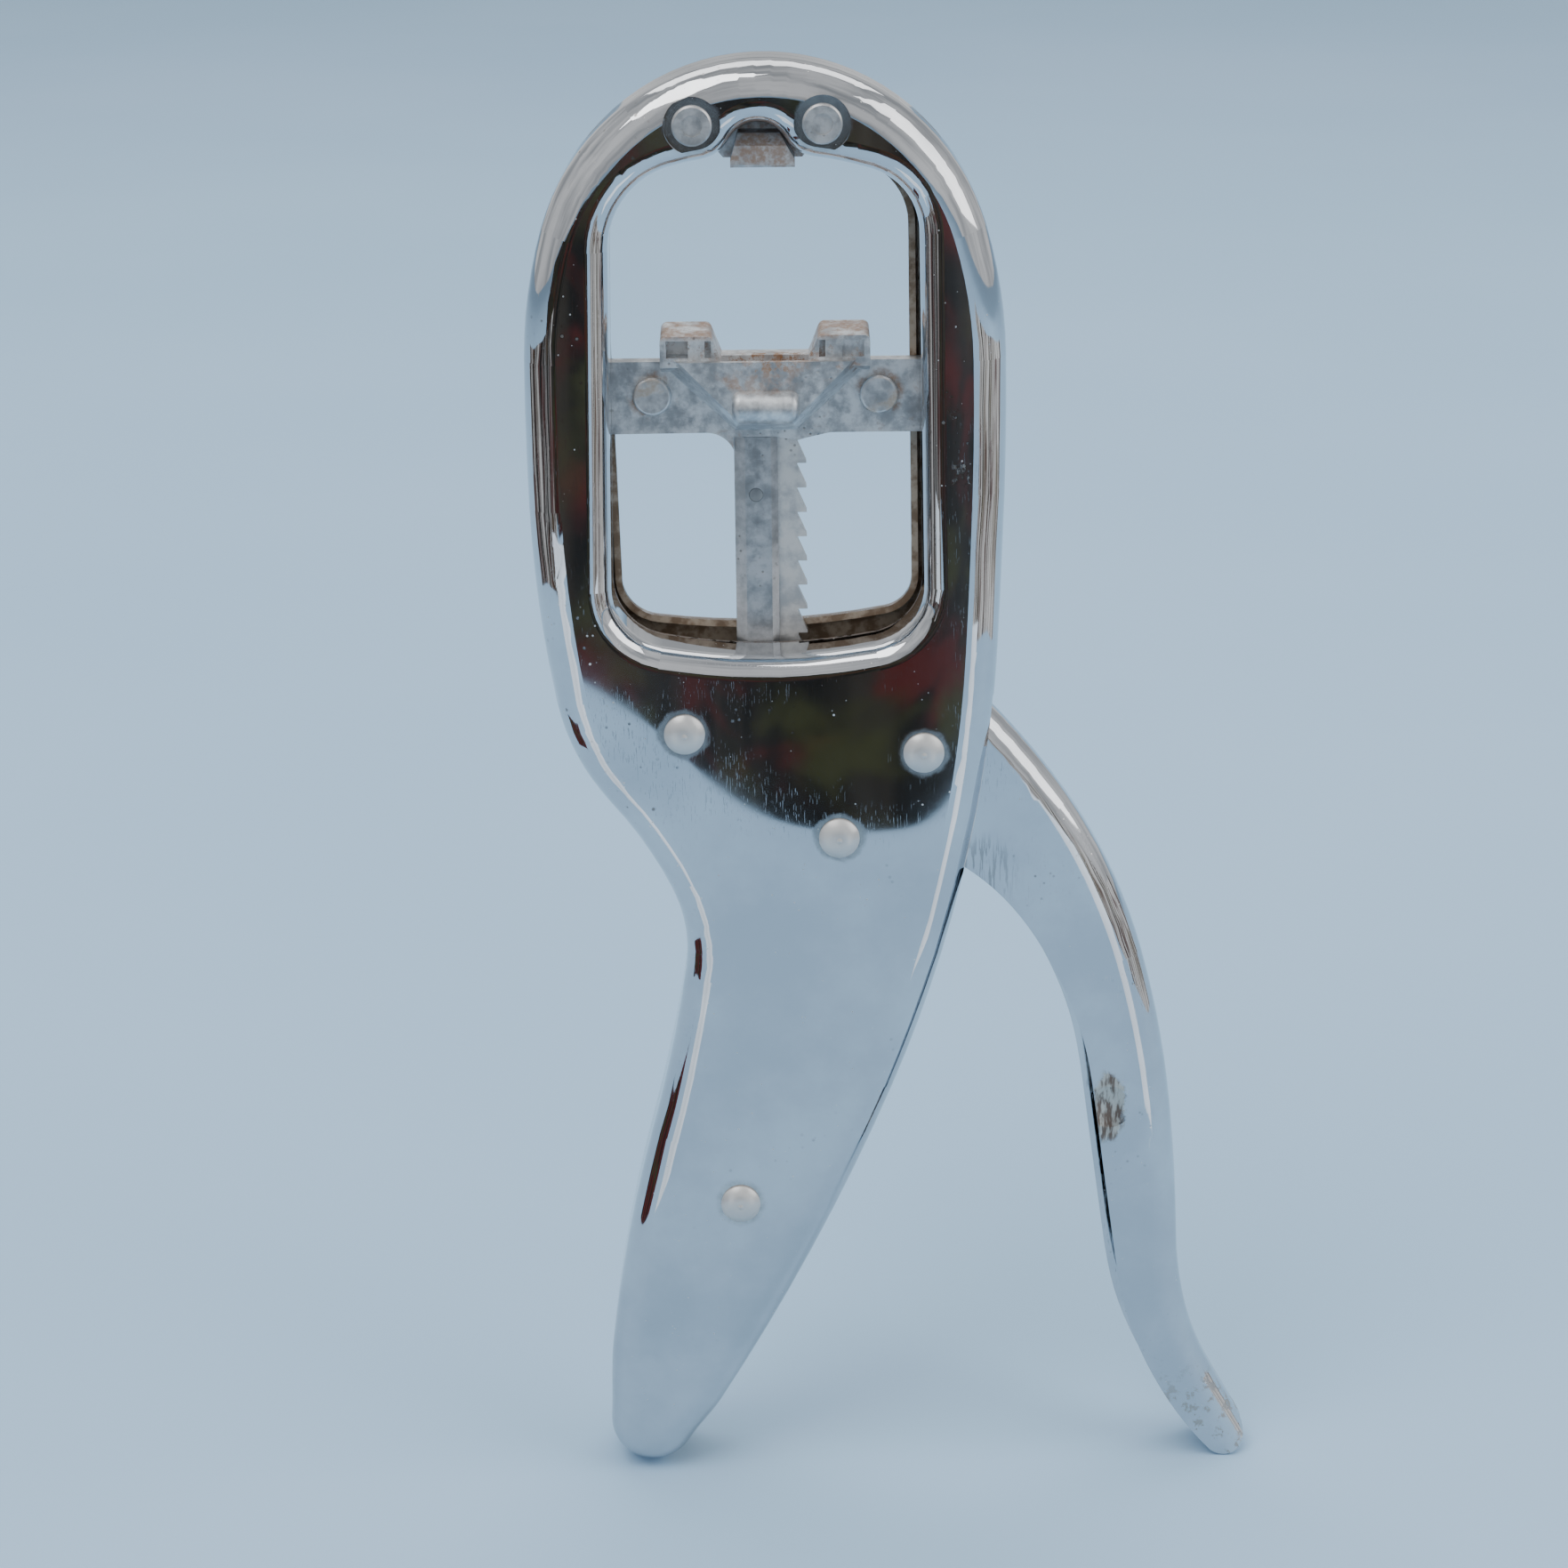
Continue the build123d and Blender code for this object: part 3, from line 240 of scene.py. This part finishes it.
def chrome_body():
    t = Tree("chrome_body")
    haze = t.noise(38, 5, 0.6)
    fine = t.noise(260, 3, 0.5)
    scratch = scratches(t, 0.3)
    specks = dust(t, 900, 0.2)
    pits = t.math("MULTIPLY", t.band(t.cells(560), 0.2, 0.08), t.band(t.noise(48, 3, 0.6), 0.58, 0.72))
    # dull rings where the plating has lifted round the rivets
    wander = t.math("MULTIPLY", t.noise(420, 4, 0.65), 0.0016)
    rings = []
    for place in domed_places:
        away = t.math("ADD", t.distance(place, (1, 0, 1)), wander)
        rings.append(t.band(away, 0.0051, 0.0039))
    for place in jaw_rivet_places:
        away = t.math("ADD", t.distance(place, (1, 0, 1)), wander)
        rings.append(t.math("MULTIPLY", t.band(away, 0.0056, 0.0042), 0.8))
    front = t.band(t.math("ABSOLUTE", t.axis("Y")), 0.0066, 0.0078)
    ring = t.math("MULTIPLY", lighter(t, rings), front)
    # flaking spots on the right rail of the head
    flakes = []
    for x, z, reach in flake_places:
        away = t.distance((x * MM, RAIL_FACE, z * MM), (1, 0.6, 0.8))
        ragged = t.math("ADD", away, t.math("MULTIPLY", t.noise(620, 5, 0.72), 0.0052))
        flakes.append(t.band(ragged, (reach + 2.6) * MM, (reach + 1.7) * MM))
    flake = t.math("MULTIPLY", lighter(t, flakes), t.band(t.axis("Y"), -0.001, -0.003))
    # sheared edges of the window are bare and brown
    bare = []
    for y_low, y_high in lip_bands:
        edge = t.math("MULTIPLY", t.band(t.axis("Y"), y_low, y_low + 0.0003),
                      t.band(t.axis("Y"), y_high, y_high - 0.0003))
        bare.append(t.math("MULTIPLY", edge, t.band(t.noise(420, 4, 0.7), 0.34, 0.52)))
    in_head = t.math("MULTIPLY", t.band(t.axis("Z"), zone_low, zone_low + 2 * MM),
                     t.band(t.axis("Z"), zone_high, zone_high - 2 * MM))
    beside = t.math("ABSOLUTE", t.axis("X"))
    in_window = t.math("MULTIPLY", in_head, t.band(beside, zone_side, zone_side - MM))
    sheared = t.math("MULTIPLY", lighter(t, bare), in_window)
    worn = t.math("MAXIMUM", flake, t.math("MULTIPLY", ring, 0.5))
    # the unplated inside of the shells: faces that look back towards the body's middle
    x_out = t.math("MULTIPLY", t.axis("X"), t.normal_axis("X"))
    y_out = t.math("MULTIPLY", t.axis("Y"), t.normal_axis("Y"))
    outer_zone = t.band(beside, 25.5 * MM, 27 * MM)
    side_wall = t.math("MULTIPLY", t.band(x_out, -0.004, -0.012), outer_zone)
    inside = t.math("MAXIMUM", side_wall, t.band(y_out, -0.0025, -0.0045))
    tone = t.mix(t.band(haze, 0.35, 0.7), (0.50, 0.51, 0.53), (0.61, 0.62, 0.64))
    tone = t.mix(t.math("MULTIPLY", pits, 0.8), tone, (0.16, 0.13, 0.10))
    tone = t.mix(t.math("MULTIPLY", specks, 0.6), tone, (0.78, 0.77, 0.74))
    brown = t.mix(t.band(t.noise(900, 3, 0.6), 0.35, 0.65), (0.20, 0.16, 0.12), (0.46, 0.43, 0.38))
    tone = t.mix(t.math("MULTIPLY", worn, 0.85), tone, brown)
    tone = t.mix(t.math("MULTIPLY", sheared, 0.8), tone, (0.15, 0.105, 0.07))
    dull = t.mix(t.band(t.noise(300, 4, 0.65), 0.4, 0.6), (0.20, 0.135, 0.085), (0.42, 0.34, 0.26))
    tone = t.mix(inside, tone, dull)
    rough = t.band(haze, 0.35, 0.75, 0.018, 0.055)
    rough = t.math("ADD", rough, t.math("MULTIPLY", scratch, 0.1))
    rough = t.math("ADD", rough, t.math("MULTIPLY", worn, 0.3))
    rough = t.math("ADD", rough, t.math("MULTIPLY", t.math("MAXIMUM", sheared, inside), 0.45))
    rough = t.math("ADD", rough, t.math("MULTIPLY", lighter(t, [pits, specks]), 0.45), clamp=True)
    height = t.math("SUBTRACT", t.math("MULTIPLY", fine, 0.03), t.math("MULTIPLY", scratch, 0.3))
    height = t.math("SUBTRACT", height, t.math("ADD", pits, t.math("MULTIPLY", flake, 0.6)))
    normal = t.bump(height, 0.16, 0.00003)
    waves = t.noise(14, 2, 0.5)
    normal = t.bump(waves, 0.10, 0.0004, normal)
    return t.finish(tone, rough, normal, t.band(inside, 0.0, 1.0, 1.0, 0.15))


def chrome_lever():
    t = Tree("chrome_lever")
    haze = t.noise(45, 5, 0.6)
    fine = t.noise(300, 3, 0.5)
    scratch = scratches(t, 1.7)
    specks = dust(t, 950, 0.19)
    near = t.band(t.distance(scuff_place, (1, 1, 0.8)), 0.0062, 0.0022)
    cross = t.noise(1.0, 3, 0.6, t.stretched((2100, 2100, 210), (0.0, -0.9, 0.0)))
    scuffs = t.math("MULTIPLY", t.band(cross, 0.5, 0.58), near)
    pits = t.math("MULTIPLY", t.band(t.cells(700), 0.2, 0.08), t.band(t.noise(60, 3, 0.6), 0.56, 0.7))
    # scraped brown patch in the dent, streaked along the lever
    away = t.distance(dent_place, (1.3, 1, 0.55))
    away = t.math("ADD", away, t.math("MULTIPLY", t.noise(520, 5, 0.7), 0.0034))
    dent = t.math("MULTIPLY", t.band(away, 0.0054, 0.0043), t.band(t.axis("Y"), -0.003, -0.0038))
    streak = t.noise(1.0, 3, 0.6, t.stretched((1500, 1500, 330), (0.0, 0.35, 0.0)))
    tone = t.mix(t.band(haze, 0.35, 0.7), (0.50, 0.515, 0.54), (0.61, 0.625, 0.65))
    tone = t.mix(t.math("MULTIPLY", pits, 0.7), tone, (0.16, 0.13, 0.10))
    tone = t.mix(t.math("MULTIPLY", specks, 0.6), tone, (0.78, 0.77, 0.74))
    tone = t.mix(t.math("MULTIPLY", scuffs, 0.45), tone, (0.24, 0.23, 0.22))
    scrape = t.mix(t.band(streak, 0.4, 0.6), (0.13, 0.075, 0.045), (0.5, 0.46, 0.4))
    tone = t.mix(t.math("MULTIPLY", dent, 0.9), tone, scrape)
    tip = t.band(t.axis("Z"), -0.036, -0.047)
    tip_spots = t.math("MULTIPLY", tip, t.band(t.noise(420, 5, 0.75), 0.54, 0.6))
    tone = t.mix(t.math("MULTIPLY", tip_spots, 0.6), tone, (0.3, 0.25, 0.19))
    rough = t.band(haze, 0.35, 0.75, 0.035, 0.09)
    rough = t.math("ADD", rough, t.math("MULTIPLY", lighter(t, [scratch, scuffs]), 0.2))
    rough = t.math("ADD", rough, t.math("MULTIPLY", lighter(t, [specks, dent, tip_spots]), 0.35), clamp=True)
    height = t.math("SUBTRACT", t.math("MULTIPLY", fine, 0.03), t.math("MULTIPLY", scratch, 0.3))
    height = t.math("SUBTRACT", height, t.math("ADD", pits, t.math("MULTIPLY", scuffs, 0.7)))
    height = t.math("SUBTRACT", height, t.math("MULTIPLY", t.math("MULTIPLY", dent, streak), 1.5))
    normal = t.bump(height, 0.16, 0.00003)
    waves = t.noise(22, 2, 0.5)
    normal = t.bump(waves, 0.12, 0.0004, normal)
    return t.finish(tone, rough, normal)


def rivet_metal():
    t = Tree("rivet_aluminium")
    haze = t.noise(260, 4, 0.6)
    grain = t.noise(1500, 3, 0.6)
    tone = t.mix(t.band(haze, 0.35, 0.65), (0.84, 0.88, 0.93), (0.94, 0.97, 1.0))
    # painted shade: a dark ring on the steep rim of each dome, where the dome turns away from the light
    edge = lighter(t, [t.band(t.distance(p, (1, 0, 1)), 0.0027, 0.0031) for p in domed_places])
    nipple = lighter(t, [t.band(t.distance(p, (1, 0, 1)), 0.0007, 0.0005) for p in domed_places])
    tone = t.mix(t.math("MULTIPLY", edge, 0.6), tone, (0.36, 0.31, 0.25))
    tone = t.mix(t.math("MULTIPLY", nipple, 0.35), tone, (0.5, 0.48, 0.45))
    rough = t.band(haze, 0.3, 0.7, 0.3, 0.45)
    return t.finish(tone, rough, t.bump(grain, 0.2, 0.00004), 0.45)


def cast_metal(name, base, light, stain, rough_low, rough_high, stain_at, extra=None):
    """Dull cast or sheared metal with mottling, brown stains and a fine grain."""
    t = Tree(name)
    fine = t.math("MULTIPLY", t.noise(420, 5, 0.68), 0.6)
    coarse = t.math("MULTIPLY", t.noise(90, 4, 0.6), 0.4)
    mottle = t.math("ADD", fine, coarse)
    blotch = t.noise(130, 5, 0.66, distortion=0.4)
    grain = t.noise(1500, 4, 0.65)
    tone = t.mix(t.band(mottle, 0.40, 0.60), base, light)
    where = t.math("MULTIPLY", t.band(blotch, stain_at, stain_at + 0.1), 0.7)
    if extra is not None:
        where = t.math("MAXIMUM", where, extra(t))
    tone = t.mix(t.math("MULTIPLY", where, t.band(grain, 0.3, 0.6, 0.45, 0.95)), tone, stain)
    dots = t.math("MULTIPLY", t.band(t.cells(800), 0.22, 0.1), t.band(t.noise(75, 3, 0.6), 0.5, 0.62))
    tone = t.mix(t.math("MULTIPLY", dots, 0.55), tone, (0.1, 0.085, 0.07))
    rough = t.band(mottle, 0.35, 0.65, rough_low, rough_high)
    rough = t.math("ADD", rough, t.math("MULTIPLY", where, 0.2), clamp=True)
    height = t.math("SUBTRACT", t.math("ADD", t.math("MULTIPLY", grain, 0.5), mottle), dots)
    metallic = t.band(where, 0.0, 1.0, 0.9, 0.35)
    return t.finish(tone, rough, t.bump(height, 0.35, 0.00010), metallic)


def jaw_rust(t):
    """Crumbs in the hopper's tray, brown prong tops, a stain over the pad and halos round the studs."""
    fleck = t.noise(640, 5, 0.75)
    tray = t.band(t.distance(tray_place, (0.5, 1, 1)), 0.0050, 0.0030)
    crumbs = t.math("MULTIPLY", tray, t.band(fleck, 0.46, 0.54))
    tops = t.math("MULTIPLY", t.band(t.axis("Z"), 0.1279, 0.1288), t.band(t.noise(240, 4, 0.6), 0.38, 0.56))
    fronts = t.math("MULTIPLY", t.band(t.axis("Z"), 0.1250, 0.1256), t.band(fleck, 0.52, 0.62))
    pad = t.band(t.distance(pad_place, (0.62, 1, 1.5)), 0.0034, 0.0016)
    pad = t.math("MULTIPLY", pad, t.band(fleck, 0.4, 0.6))
    halos = []
    for place in stud_places:
        away = t.distance(place, (1, 0, 1))
        ring = t.math("MULTIPLY", t.band(away, 0.0042, 0.0031), t.band(t.noise(300, 3, 0.6), 0.46, 0.6))
        halos.append(t.math("MULTIPLY", ring, t.band(t.axis("Y"), 0.0024, 0.0018)))
    return lighter(t, [crumbs, t.math("MULTIPLY", tops, 0.8), t.math("MULTIPLY", fronts, 0.6),
                       t.math("MULTIPLY", pad, 0.6), t.math("MULTIPLY", lighter(t, halos), 0.8)])


def stud_rim(t):
    """Broken brown ring at the edge of each stud's head."""
    rims = []
    for place in stud_places:
        away = t.distance(place, (1, 0, 1))
        broken = t.band(t.noise(190, 4, 0.6), 0.5, 0.62, 0.0, 0.7)
        rims.append(t.math("MULTIPLY", t.band(away, 0.0022, 0.0028), broken))
    return lighter(t, rims)


def plain_steel(name, base, light, rough):
    t = Tree(name)
    mottle = t.noise(200, 4, 0.6)
    lines = t.noise(1.0, 3, 0.6, t.stretched((1400, 1400, 160)))
    tone = t.mix(t.band(mottle, 0.35, 0.65), base, light)
    level = t.band(lines, 0.3, 0.7, rough - 0.07, rough + 0.1)
    return t.finish(tone, level, t.bump(lines, 0.3, 0.00006))


shell_chrome = chrome_body()
lever_chrome = chrome_lever()
aluminium = rivet_metal()
zinc = cast_metal("jaw_metal", (0.42, 0.435, 0.45), (0.70, 0.72, 0.735), (0.27, 0.13, 0.05),
                  rough_low=0.34, rough_high=0.54, stain_at=0.60, extra=jaw_rust)
rivet_steel = cast_metal("rivet_steel", (0.42, 0.42, 0.42), (0.58, 0.58, 0.58), (0.22, 0.18, 0.13),
                         rough_low=0.3, rough_high=0.5, stain_at=0.6)
stud_steel = cast_metal("stud_steel", (0.46, 0.47, 0.48), (0.64, 0.65, 0.66), (0.36, 0.26, 0.16),
                        rough_low=0.3, rough_high=0.48, stain_at=0.72, extra=stud_rim)
stem_steel = cast_metal("stem_steel", (0.40, 0.41, 0.42), (0.56, 0.57, 0.585), (0.22, 0.18, 0.13),
                        rough_low=0.3, rough_high=0.45, stain_at=0.68)
rack_steel = cast_metal("rack_steel", (0.5, 0.5, 0.5), (0.68, 0.675, 0.66), (0.28, 0.22, 0.15),
                        rough_low=0.42, rough_high=0.62, stain_at=0.64)
inner_steel = plain_steel("steel_inner", (0.3, 0.3, 0.3), (0.46, 0.455, 0.45), 0.42)
spring_steel = plain_steel("spring_steel", (0.22, 0.22, 0.23), (0.34, 0.34, 0.35), 0.35)
looks = {
    "front_shell": shell_chrome,
    "rear_shell": shell_chrome,
    "lever": lever_chrome,
    "shell_rivets": aluminium,
    "pivot_rivet": aluminium,
    "rivet_washers": aluminium,
    "moving_jaw": zinc,
    "fixed_jaw": zinc,
    "jaw_rivets": rivet_steel,
    "jaw_studs": stud_steel,
    "stem": stem_steel,
    "rack": rack_steel,
    "drive_pawl_spring": spring_steel,
    "holding_pawl_spring": spring_steel,
    "lever_spring": spring_steel,
}
# whatever is not listed sits inside the body
for name, node in nodes.items():
    node.data.materials.clear()
    node.data.materials.append(looks.get(name, inner_steel))
    for polygon in node.data.polygons:
        polygon.use_smooth = True
    weighted = node.modifiers.new("even_normals", "WEIGHTED_NORMAL")
    weighted.keep_sharp = True


# ---------------------------------------------------------------- studio
floor_gap = 0.2 * MM
floor_reach = 12.0
floor_z = cad_box[0].z - floor_gap


def sheet_mesh(name, corners, material):
    mesh = bpy.data.meshes.new(name)
    mesh.from_pydata(corners, [], [tuple(range(len(corners)))])
    piece = bpy.data.objects.new(name, mesh)
    scene.collection.objects.link(piece)
    mesh.materials.append(material)


def matt(name, dark, light, scale):
    t = Tree(name)
    tone = t.mix(t.band(t.noise(scale, 3, 0.5), 0.3, 0.7), dark, light)
    return t.finish(tone, 0.85, metallic=0.0)


sheet_mesh(
    "floor",
    [(x * floor_reach, y * floor_reach, floor_z) for x, y in ((-1, -1), (1, -1), (1, 1), (-1, 1))],
    matt("floor_matt", (0.37, 0.57, 0.78), (0.39, 0.59, 0.80), 3.0),
)


def card_material(name, dark, light, accents, across, low, high, spread):
    """Upright streaks of a few tones; the card glows with them, so lamps do not change it."""
    t = Tree(name)
    streak = t.noise(1.0, 4, 0.6, t.stretched((across, across, across * 0.05)))
    tone = t.mix(t.band(streak, low, high), dark, light)
    for number, accent in enumerate(accents):
        drift = t.stretched((spread, spread, spread * 1.6), (0.0, 0.0, 1.3 * number))
        cloud = t.noise(1.0, 3, 0.6, drift, 0.8)
        tone = t.mix(t.math("MULTIPLY", t.band(cloud, 0.50, 0.68), 0.8), tone, accent)
    t.link(tone, t.shader.inputs["Emission Color"])
    t.link(1.0, t.shader.inputs["Emission Strength"])
    return t.finish((0.0, 0.0, 0.0, 1.0), 1.0, metallic=0.0)


def card_mesh(name, points, top, material):
    """Upright card on the floor along a smooth line; it shows in reflections only."""
    curve = bpy.data.curves.new(name + "_line", "CURVE")
    curve.dimensions = "2D"
    spline = curve.splines.new("NURBS")
    spline.points.add(len(points) - 1)
    for point, (x, y) in zip(spline.points, points):
        point.co = (x, y, 0, 1)
    spline.use_endpoint_u = True
    spline.order_u = 3
    curve.extrude = (top - floor_z) / 2
    piece = bpy.data.objects.new(name, curve)
    scene.collection.objects.link(piece)
    piece.location = (0, 0, (top + floor_z) / 2)
    curve.materials.append(material)
    piece.visible_camera = False
    piece.visible_shadow = False
    piece.visible_diffuse = False


# a bowed dark card in front, seen only in the chrome, as a photographer's black flag
bow = ((-0.6, -0.62), (-0.2, -0.56), (-0.07, -0.47), (-0.035, -0.405), (-0.015, -0.345), (0.0, -0.318),
       (0.02, -0.31), (0.042, -0.318), (0.056, -0.40), (0.08, -0.5), (0.12, -0.6))
card_mesh("dark_card", bow, 0.125, card_material(
    "card_front", (0.010, 0.010, 0.009), (0.13, 0.115, 0.09), ((0.12, 0.02, 0.018), (0.062, 0.068, 0.026)),
    across=26.0, low=0.45, high=0.75, spread=21.0))
# streaked cards to the left and right, which give the rails of the head their upright bands
left_bow = ((-0.20, -0.44), (-0.33, -0.33), (-0.43, -0.18), (-0.46, -0.02), (-0.43, 0.12))
card_mesh("left_card", left_bow, 0.07, card_material(
    "card_left", (0.012, 0.010, 0.008), (0.85, 0.86, 0.86), ((0.12, 0.085, 0.05), (0.10, 0.02, 0.018)),
    across=34.0, low=0.47, high=0.60, spread=12.0))
right_bow = [(-x, y) for x, y in left_bow]
card_mesh("right_card", right_bow, 0.07, card_material(
    "card_right", (0.05, 0.045, 0.035), (1.0, 1.0, 0.99), ((0.20, 0.17, 0.11), (0.10, 0.03, 0.025)),
    across=28.0, low=0.40, high=0.56, spread=12.0))
# near white strips for the soft light lines along the handle, and a low dark one on the left
strip_white = card_material(
    "strip_white", (1.05, 1.2, 1.35), (1.5, 1.7, 1.9), (), across=20.0, low=0.3, high=0.7, spread=10.0)
card_mesh("left_strip", ((-0.118, -0.112), (-0.095, -0.13), (-0.072, -0.14)), 0.06, strip_white)
card_mesh("right_strip", ((0.085, -0.15), (0.105, -0.14), (0.125, -0.125)), 0.04, strip_white)
card_mesh("left_low", ((-0.172, -0.085), (-0.188, -0.04), (-0.195, 0.015)), -0.022, card_material(
    "card_low", (0.012, 0.010, 0.009), (0.17, 0.03, 0.03), ((0.03, 0.11, 0.04),),
    across=60.0, low=0.42, high=0.66, spread=55.0))


def area_light(name, place, aim, width, height, power):
    data = bpy.data.lights.new(name, "AREA")
    data.shape = "RECTANGLE"
    data.size = width
    data.size_y = height
    data.energy = power
    lamp = bpy.data.objects.new(name, data)
    scene.collection.objects.link(lamp)
    lamp.location = place
    lamp.rotation_mode = "QUATERNION"
    lamp.rotation_quaternion = (Vector(aim) - Vector(place)).to_track_quat("-Z", "Y")


area_light("key", (-1.0, -1.0, 2.4), (0, 0.1, 0.0), width=1.6, height=1.6, power=34.0)
area_light("right", (1.5, -0.5, 1.1), (0, 0, 0.06), width=1.3, height=1.5, power=15.0)
area_light("top", (0.0, 1.0, 1.9), (0, 0, 0.06), width=2.4, height=1.0, power=18.0)

world = bpy.data.worlds.new("studio")
scene.world = world
world.use_nodes = True
background = world.node_tree.nodes["Background"]
background.inputs["Strength"].default_value = 0.76
# soft light and shade of a room, for the chrome to reflect
room = world.node_tree.nodes.new("ShaderNodeTexCoord")
cloud = world.node_tree.nodes.new("ShaderNodeTexNoise")
cloud.inputs["Scale"].default_value = 2.6
cloud.inputs["Detail"].default_value = 3.0
shade = world.node_tree.nodes.new("ShaderNodeValToRGB")
shade.color_ramp.elements[0].position = 0.36
shade.color_ramp.elements[0].color = (0.55, 0.58, 0.61, 1.0)
shade.color_ramp.elements[1].position = 0.6
shade.color_ramp.elements[1].color = (1.08, 1.1, 1.12, 1.0)
world.node_tree.links.new(room.outputs["Generated"], cloud.inputs["Vector"])
world.node_tree.links.new(cloud.outputs["Fac"], shade.inputs["Fac"])
world.node_tree.links.new(shade.outputs["Color"], background.inputs["Color"])

# ---------------------------------------------------------------- camera
camera_data = bpy.data.cameras.new("camera")
camera = bpy.data.objects.new("camera", camera_data)
scene.collection.objects.link(camera)
scene.camera = camera
# a lens about twice as long as its frame is wide, looking down on the press from half a metre away
lens_to_width = 2.12706
camera_distance = 0.5
tilt = math.radians(19.0)
roll = math.radians(0.65)
camera_data.sensor_width = 36.0
camera_data.lens = camera_data.sensor_width * lens_to_width
forward = Vector((0, math.cos(tilt), -math.sin(tilt)))
level_up = Vector((0, math.sin(tilt), math.cos(tilt)))
right = math.cos(roll) * Vector((1, 0, 0)) - math.sin(roll) * level_up
up = math.sin(roll) * Vector((1, 0, 0)) + math.cos(roll) * level_up
target = Vector((2.05 * MM, -8.3 * MM, 62 * MM))
turn = Matrix((right, up, -forward)).transposed()
camera.rotation_mode = "QUATERNION"
camera.rotation_quaternion = turn.to_quaternion()
camera.location = target - forward * camera_distance
